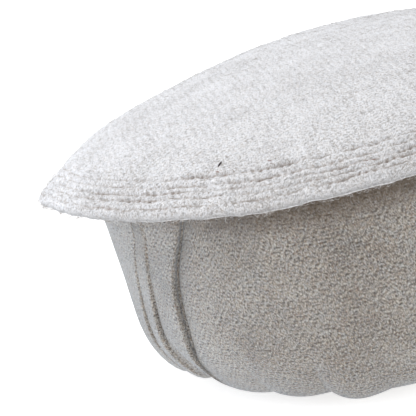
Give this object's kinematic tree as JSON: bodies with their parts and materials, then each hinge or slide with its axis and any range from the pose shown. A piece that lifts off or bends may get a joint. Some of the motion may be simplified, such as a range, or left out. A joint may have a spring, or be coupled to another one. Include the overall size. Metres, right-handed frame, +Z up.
{
  "type": "pakol",
  "caption": "Round woollen hat: a low puffed crown with a stitched, sloping rim, over a side that is rolled up into a thick soft band.",
  "frame": {"origin": "on the floor that the rolled band stands on, under the middle of the hat's outline seen from above", "axes": "+Z up through the crown, -Y towards the front of the hat, +X to the right seen from the front"},
  "size_m": [0.2728, 0.2696, 0.1275],
  "materials": {
    "crown_wool": "matt felted wool, cream with grey and brown fibres",
    "side_wool": "matt woven wool, oatmeal with dark brown fibres"
  },
  "bodies": {
    "root": {"crown": "crown_wool", "rolled_side": "side_wool"}
  },
  "joints": []
}
